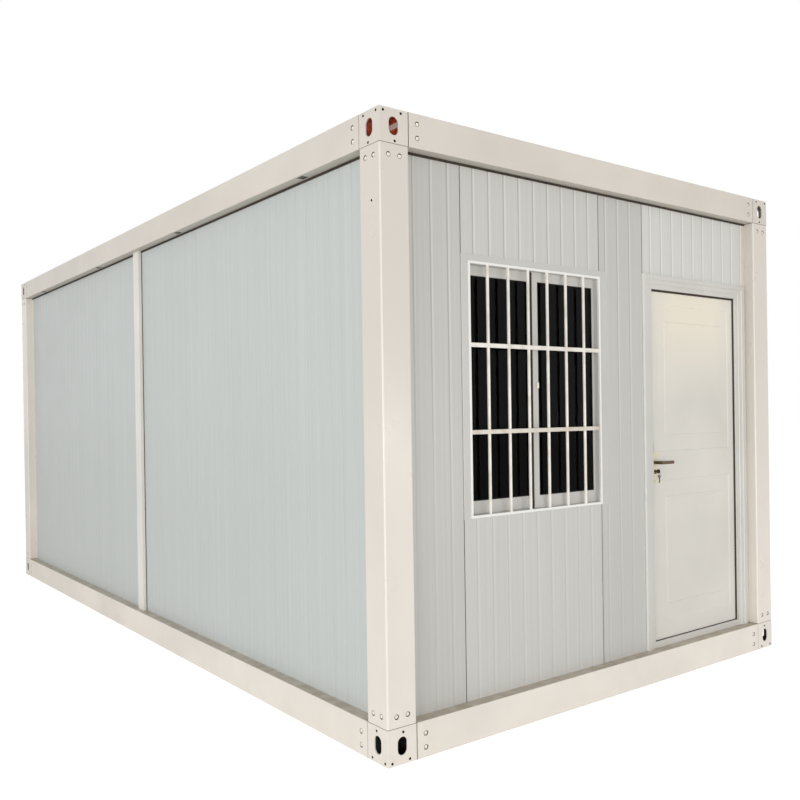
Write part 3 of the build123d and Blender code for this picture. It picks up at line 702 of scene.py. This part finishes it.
def add_frame_ring(shape, outer, inner, near, far, chamfer=0.0):
    """Adds a mitred rectangular ring. outer and inner are (x0, x1, z0, z1); near is its -Y face."""
    def loop(box, inset, y):
        x0, x1, z0, z1 = box
        return [
            shape.verts.new((x0 + inset, y, z0 + inset)), shape.verts.new((x1 - inset, y, z0 + inset)),
            shape.verts.new((x1 - inset, y, z1 - inset)), shape.verts.new((x0 + inset, y, z1 - inset))]

    outside = [(outer, 0, far), (outer, 0, near + chamfer), (outer, chamfer, near)]
    inside = [(inner, -chamfer, near), (inner, 0, near + chamfer), (inner, 0, far)]
    if not chamfer:
        del outside[1], inside[1]
    loops = [loop(*step) for step in outside + inside]
    bridge(shape, loops + loops[:1])


def add_block(shape, low, high, chamfer):
    """Adds a box with chamfered edges between two corners."""
    made = bmesh.ops.create_cube(shape, size=1.0)
    size = Vector(high) - Vector(low)
    middle = (Vector(high) + Vector(low)) / 2
    for vert in made["verts"]:
        vert.co = Vector((vert.co.x * size.x, vert.co.y * size.y, vert.co.z * size.z)) + middle
    edges = list({edge for vert in made["verts"] for edge in vert.link_edges})
    bmesh.ops.bevel(shape, geom=edges, offset=chamfer, segments=2, profile=0.5, affect="EDGES")


# Bolts at the ends of beams and posts sit in dimples, and each block has small holes
BOLT_FROM_BLOCK = 0.050
BOLT_LEVELS = (0.045, 0.106)
POST_BOLT_SPREAD = 0.030
BLOCK_HOLES = ((0.022, 0.016), (0.116, 0.016), (0.082, 0.139))
POST_HOLE_INSET = 0.062
POST_HOLE_LEVEL = 2.410
DIMPLE = ((0.0135, -0.001, False), (0.0085, 0.0034, False))
SMALL_HOLE = ((0.0063, -0.001, False), (0.0063, 0.0070, False))
SHEET_HOLE = ((0.0058, -0.001, False), (0.0058, 0.0045, False))
BOLT_HEAD = (
    (0.0078, 0.0031, False), (0.0078, 0.0013, False), (0.0070, 0.0006, False),
    (0.0036, 0.0006, True), (0.0032, 0.0026, True))
DIMPLE_SIDES = 16
HOLE_SIDES = 10


def bolts_on_face(spot, block, beam, post):
    """Each bolt on one face of a corner, as the node that it goes into and its place."""
    bolted = []
    for level in BOLT_LEVELS:
        bolted.append(("floor_beam_" + beam, spot(block + BOLT_FROM_BLOCK, level)))
        bolted.append(("roof_beam_" + beam, spot(block + BOLT_FROM_BLOCK, TOP - level)))
    for spread in (-POST_BOLT_SPREAD, POST_BOLT_SPREAD):
        for level in (WALL_BOTTOM + BOLT_FROM_BLOCK, WALL_TOP - BOLT_FROM_BLOCK):
            bolted.append((post, spot(block / 2 + spread, level)))
    return bolted


def gather_recesses():
    """Adds the bolts, and returns the shape to cut from each node that has dimples or small holes."""
    cutters = {}
    bolts = bmesh.new()

    def cut(target, place, outward, rings, sides):
        if target not in cutters:
            cutters[target] = bmesh.new()
        add_turned(cutters[target], place, outward, rings, sides)

    for side, side_name in ((-1, "left"), (1, "right")):
        for end, end_name in ((-1, "front"), (1, "back")):
            corner = end_name + "_" + side_name
            face_x = side * HALF_WIDTH
            face_y = end * HALF_LENGTH
            faces = (
                ((0, end, 0), lambda inset, level: (face_x - side * inset, face_y, level), POST_WIDTH),
                ((side, 0, 0), lambda inset, level: (face_x, face_y - end * inset, level), POST_DEPTH))
            for (outward, spot, block), beam in zip(faces, (end_name, side_name)):
                for target, place in bolts_on_face(spot, block, beam, "post_" + corner):
                    cut(target, place, outward, DIMPLE, DIMPLE_SIDES)
                    add_turned(bolts, place, outward, BOLT_HEAD)
                for inset, level in BLOCK_HOLES:
                    cut("floor_corner_" + corner, spot(inset, level), outward, SMALL_HOLE, HOLE_SIDES)
                    cut("roof_corner_" + corner, spot(inset, TOP - level), outward, SMALL_HOLE, HOLE_SIDES)
            hole = (face_x, face_y - end * POST_HOLE_INSET, POST_HOLE_LEVEL)
            cut("post_" + corner, hole, (side, 0, 0), SHEET_HOLE, HOLE_SIDES)
    add_piece("frame_bolts", bolts, "bolt", "cabin")
    return cutters


def cut_recesses():
    """Cuts the dimples and small holes. The cut faces take the second material, of cutter and node alike."""
    for node_name, shape in gather_recesses().items():
        mesh = mesh_from(shape, node_name + "_recess")
        cutter = bpy.data.objects.new(node_name + "_recess", mesh)
        bpy.context.scene.collection.objects.link(cutter)
        cutter.hide_render = True
        # Painted shade lines the cut faces: near black in the blocks' holes, and dark with a crescent in the
        # dimples
        lining = looks["hole" if "corner" in node_name else "dimple"].material
        mesh.materials.append(looks["frame"].material)
        mesh.materials.append(lining)
        nodes[node_name].data.materials.append(lining)
        for face in mesh.polygons:
            face.material_index = 1
        cut = nodes[node_name].modifiers.new("recesses", "BOOLEAN")
        cut.operation = "DIFFERENCE"
        cut.solver = "EXACT"
        cut.object = cutter


# Window trim
SASH_THICKNESS = 0.012
SASH_MEETING = 0.046
SASH_WIDTH = (SASH_HIGH[0] - SASH_LOW[0] + SASH_MEETING) / 2
OUTER_SASH_LEFT = SASH_HIGH[0] - SASH_WIDTH
GLASS_THICKNESS = 0.005
GASKET_WIDTH = 0.0035
GASKET_PROUD = 0.0025
TRIM_CHAMFER = 0.0008
BRUSH_BEFORE_EDGE = 0.005
BRUSH_PAST_EDGE = 0.007
BRUSH_PROUD = 0.0012
BRUSH_FROM_ENDS = 0.002
LATCH_FROM_EDGE = 0.003
LATCH_WIDTH = 0.013
LATCH_PROUD = 0.009
LATCH_BOTTOM, LATCH_TOP = 1.615, 1.645
LATCH_CHAMFER = 0.003


def add_glazing_rubber():
    """Rubber round each pane, on both sides of the glass."""
    panes = (
        (GLASS_LOW[0], SASH_LOW[0] + SASH_WIDTH - SASH_MEETING, GLASS_HIGH[1]),
        (OUTER_SASH_LEFT + SASH_MEETING, GLASS_HIGH[0], GLASS_LOW[1] + GLASS_THICKNESS))
    bottom, top = GLASS_LOW[2], GLASS_HIGH[2]
    shape = bmesh.new()
    for left, right, glass_back in panes:
        outer = (left, right, bottom, top)
        inner = (left + GASKET_WIDTH, right - GASKET_WIDTH, bottom + GASKET_WIDTH, top - GASKET_WIDTH)
        glass_front = glass_back - GLASS_THICKNESS
        add_frame_ring(shape, outer, inner, glass_front - GASKET_PROUD, glass_front, TRIM_CHAMFER)
        add_frame_ring(shape, outer, inner, glass_back, glass_back + GASKET_PROUD)
    add_piece("glazing_rubber", shape, "gasket_and_shade", "cabin")


def add_sash_brush_seal():
    """The brush seal between the sashes, along the edge of the outer one."""
    low = (OUTER_SASH_LEFT - BRUSH_BEFORE_EDGE, SASH_LOW[1] - BRUSH_PROUD, SASH_LOW[2] + BRUSH_FROM_ENDS)
    high = (OUTER_SASH_LEFT + BRUSH_PAST_EDGE, SASH_LOW[1] + SASH_THICKNESS, SASH_HIGH[2] - BRUSH_FROM_ENDS)
    shape = bmesh.new()
    add_block(shape, low, high, TRIM_CHAMFER)
    add_piece("sash_brush_seal", shape, "gasket_and_shade", "cabin")


def add_window_latch():
    """The latch on the meeting stile of the outer sash."""
    right = OUTER_SASH_LEFT + SASH_MEETING - LATCH_FROM_EDGE
    low = (right - LATCH_WIDTH, SASH_LOW[1] - LATCH_PROUD, LATCH_BOTTOM)
    high = (right, SASH_LOW[1], LATCH_TOP)
    shape = bmesh.new()
    add_block(shape, low, high, LATCH_CHAMFER)
    add_piece("window_latch", shape, "bolt", "cabin")


# Dark strips of painted shade over the walls
STRIP_DEPTH = 0.006
STRIP_HEIGHT = 0.011
STRIP_CHAMFER = 0.001


def add_shade_strips_under_gutters():
    """A dark strip of painted shade where each wall meets the gutter over it."""
    bottom = WALL_TOP - STRIP_HEIGHT
    end_x = HALF_WIDTH - POST_WIDTH
    end_y = HALF_LENGTH - POST_DEPTH
    shape = bmesh.new()
    for side in (-1, 1):
        near, far = sorted(side * (HALF_WIDTH - WALL_INSET + depth) for depth in (0, STRIP_DEPTH))
        add_block(shape, (near, -end_y, bottom), (far, end_y, WALL_TOP), STRIP_CHAMFER)
        near, far = sorted(side * (HALF_LENGTH - WALL_INSET + depth) for depth in (0, STRIP_DEPTH))
        add_block(shape, (-end_x, near, bottom), (end_x, far, WALL_TOP), STRIP_CHAMFER)
    add_piece("wall_head_shade_strip", shape, "gasket_and_shade", "cabin")


# Door trim
STOP_LEFT, STOP_RIGHT, STOP_BOTTOM, STOP_TOP = 0.410, 1.235, 0.195, 2.178
STOP_BACK = LEAF_LOW[1] - 0.005
SEAL_WIDTH = 0.011
SILL_SEAL = 0.0035
SEAL_LAP = 0.004
SEAL_THICKNESS = 0.003
SCREW_FROM_END = 0.013
SCREW = (
    (0.0040, 0.0, False), (0.0040, -0.0006, False), (0.0030, -0.0014, False),
    (0.0015, -0.0014, True), (0.0014, -0.0004, True))


def add_door_seal():
    """The seal on the back of the door frame's stop."""
    outer = (STOP_LEFT - SEAL_LAP, STOP_RIGHT + SEAL_LAP, STOP_BOTTOM - SEAL_LAP, STOP_TOP + SEAL_LAP)
    inner = (STOP_LEFT + SEAL_WIDTH, STOP_RIGHT - SEAL_WIDTH, STOP_BOTTOM + SILL_SEAL, STOP_TOP - SEAL_WIDTH)
    shape = bmesh.new()
    add_frame_ring(shape, outer, inner, STOP_BACK, STOP_BACK + SEAL_THICKNESS, TRIM_CHAMFER)
    add_piece("door_seal", shape, "gasket_and_shade", "cabin")


def add_lock_plate_screws():
    """Two screws in each lock plate."""
    middle = (PLATE_LOW[0] + PLATE_HIGH[0]) / 2
    shape = bmesh.new()
    for face_y, outward in ((PLATE_LOW[1], (0, -1, 0)), (PLATE_HIGH[1], (0, 1, 0))):
        for level in (PLATE_LOW[2] + SCREW_FROM_END, PLATE_HIGH[2] - SCREW_FROM_END):
            add_turned(shape, (middle, face_y, level), outward, SCREW)
    add_piece("lock_plate_screws", shape, "plate", "door")


# A spare key hangs on a ring from the hole in the head of the key in the lock
KEY_HOLE = Vector((0.442, -2.925, 1.147))
RING_RADIUS = 0.009
RING_WIRE = 0.0009
HEAD_BELOW_RING = 0.0045
HEAD_RADIUS = 0.0085
HEAD_HOLE = 0.0032
KEY_HALF_THICKNESS = 0.001
BLADE_HALF_WIDTH = 0.0032
BLADE_FROM, BLADE_TO = 0.0075, 0.036
BLADE_CHAMFER = 0.0005


def add_spare_key():
    """The ring, and the head and blade of the spare key."""
    thick = KEY_HALF_THICKNESS
    wire = [(RING_RADIUS + RING_WIRE * u, RING_WIRE * v) for u, v in circle_points(6)]
    rim = [(HEAD_RADIUS, thick), (HEAD_RADIUS, -thick), (HEAD_HOLE, -thick), (HEAD_HOLE, thick)]
    head = KEY_HOLE - Vector((0, 0, 2 * RING_RADIUS + HEAD_BELOW_RING))
    blade_low = head - Vector((thick, BLADE_HALF_WIDTH, BLADE_TO))
    blade_high = head + Vector((thick, BLADE_HALF_WIDTH, -BLADE_FROM))
    shape = bmesh.new()
    add_hoop(shape, KEY_HOLE - Vector((0, 0, RING_RADIUS)), (0, 1, 0), wire, sides=20)
    add_hoop(shape, head, (1, 0, 0), rim, sides=16)
    add_block(shape, blade_low, blade_high, BLADE_CHAMFER)
    add_piece("spare_key", shape, "bronze", "door")


def add_stage():
    """A pale floor that takes the shadow, under a white surround."""
    mesh = bpy.data.meshes.new("studio_floor")
    reach = 60.0
    corners = [(-reach, -reach, 0), (reach, -reach, 0), (reach, reach, 0), (-reach, reach, 0)]
    mesh.from_pydata(corners, [], [(0, 1, 2, 3)])
    floor = bpy.data.objects.new("studio_floor", mesh)
    bpy.context.scene.collection.objects.link(floor)
    look = Look("studio_floor", FLOOR_BOUNCE, 0.9)
    look.set("Specular IOR Level", 0.0)
    seen = look.node("ShaderNodeLightPath", {}).outputs["Is Camera Ray"]
    look.set("Base Color", look.mix(seen, linear(FLOOR_BOUNCE), WHITE))
    look.set("Emission Color", WHITE)
    look.set("Emission Strength", look.choose(seen, FLOOR_GLOW, FLOOR_LIFT))
    mesh.materials.append(look.material)


def add_world():
    """Plain light from all round, and white where the camera or a reflection looks past the object."""
    world = bpy.data.worlds.new("studio")
    bpy.context.scene.world = world
    world.use_nodes = True
    tree = world.node_tree
    background = tree.nodes["Background"]
    background.inputs["Color"].default_value = WHITE
    path = tree.nodes.new("ShaderNodeLightPath")
    looks_past = path.outputs["Is Camera Ray"]
    for kind in ("Is Transmission Ray", "Is Glossy Ray"):
        either = tree.nodes.new("ShaderNodeMath")
        either.operation = "MAXIMUM"
        tree.links.new(looks_past, either.inputs[0])
        tree.links.new(path.outputs[kind], either.inputs[1])
        looks_past = either.outputs[0]
    level = tree.nodes.new("ShaderNodeMapRange")
    tree.links.new(looks_past, level.inputs["Value"])
    level.inputs["To Min"].default_value = WORLD_LIGHT
    level.inputs["To Max"].default_value = 1.0
    tree.links.new(level.outputs["Result"], background.inputs["Strength"])


def add_lamp(name, place, target, size, power):
    """A wide soft lamp at place that faces target. size is its width and its height."""
    data = bpy.data.lights.new(name, "AREA")
    data.shape = "RECTANGLE"
    data.size, data.size_y = size
    data.energy = power
    lamp = bpy.data.objects.new(name, data)
    lamp.location = place
    lamp.rotation_euler = (Vector(target) - Vector(place)).to_track_quat("-Z", "Y").to_euler()
    bpy.context.scene.collection.objects.link(lamp)


# The photograph's camera, found by fitting it to the straight edges of the cabin
CAMERA_PLACE = Vector((-3.6298, -5.9301, 1.5002))
CAMERA_YAW = 0.6513
CAMERA_PITCH = -0.0041
CAMERA_ROLL = -0.0146
CAMERA_FOCAL_PIXELS = 865.13
CAMERA_MIDDLE_PIXEL = (406.35, 416.82)
PICTURE = 800
SENSOR_WIDTH = 36.0


def add_camera():
    """The camera, with its lens shifted to the photograph's middle."""
    data = bpy.data.cameras.new("camera")
    data.sensor_width = SENSOR_WIDTH
    data.lens = CAMERA_FOCAL_PIXELS / PICTURE * SENSOR_WIDTH
    data.shift_x = (PICTURE / 2 - CAMERA_MIDDLE_PIXEL[0]) / PICTURE
    data.shift_y = (CAMERA_MIDDLE_PIXEL[1] - PICTURE / 2) / PICTURE
    ahead = Vector((
        math.sin(CAMERA_YAW) * math.cos(CAMERA_PITCH), math.cos(CAMERA_YAW) * math.cos(CAMERA_PITCH),
        math.sin(CAMERA_PITCH)))
    level_right = Vector((math.cos(CAMERA_YAW), -math.sin(CAMERA_YAW), 0.0))
    level_up = level_right.cross(ahead)
    right = math.cos(CAMERA_ROLL) * level_right + math.sin(CAMERA_ROLL) * level_up
    up = math.cos(CAMERA_ROLL) * level_up - math.sin(CAMERA_ROLL) * level_right
    camera = bpy.data.objects.new("camera", data)
    turn = Matrix((right, up, -ahead)).transposed()
    camera.matrix_world = Matrix.Translation(CAMERA_PLACE) @ turn.to_4x4()
    bpy.context.scene.collection.objects.link(camera)
    bpy.context.scene.camera = camera


finish_nodes()
cut_recesses()
add_glazing_rubber()
add_sash_brush_seal()
add_window_latch()
add_shade_strips_under_gutters()
add_door_seal()
add_lock_plate_screws()
add_spare_key()
add_stage()
add_world()
add_lamp("key", place=(-11.0, -5.5, 1.0), target=(0, -1.0, 0.9), size=(8.0, 1.6), power=440)
add_lamp("fill", place=(1.0, -11.0, 1.0), target=(0.3, -2.5, 0.9), size=(8.0, 1.6), power=215)
add_lamp("top", place=(0, 0, 10.0), target=(0, 0, 0), size=(8.0, 9.0), power=130)
add_camera()
bpy.context.scene.view_settings.view_transform = "Standard"
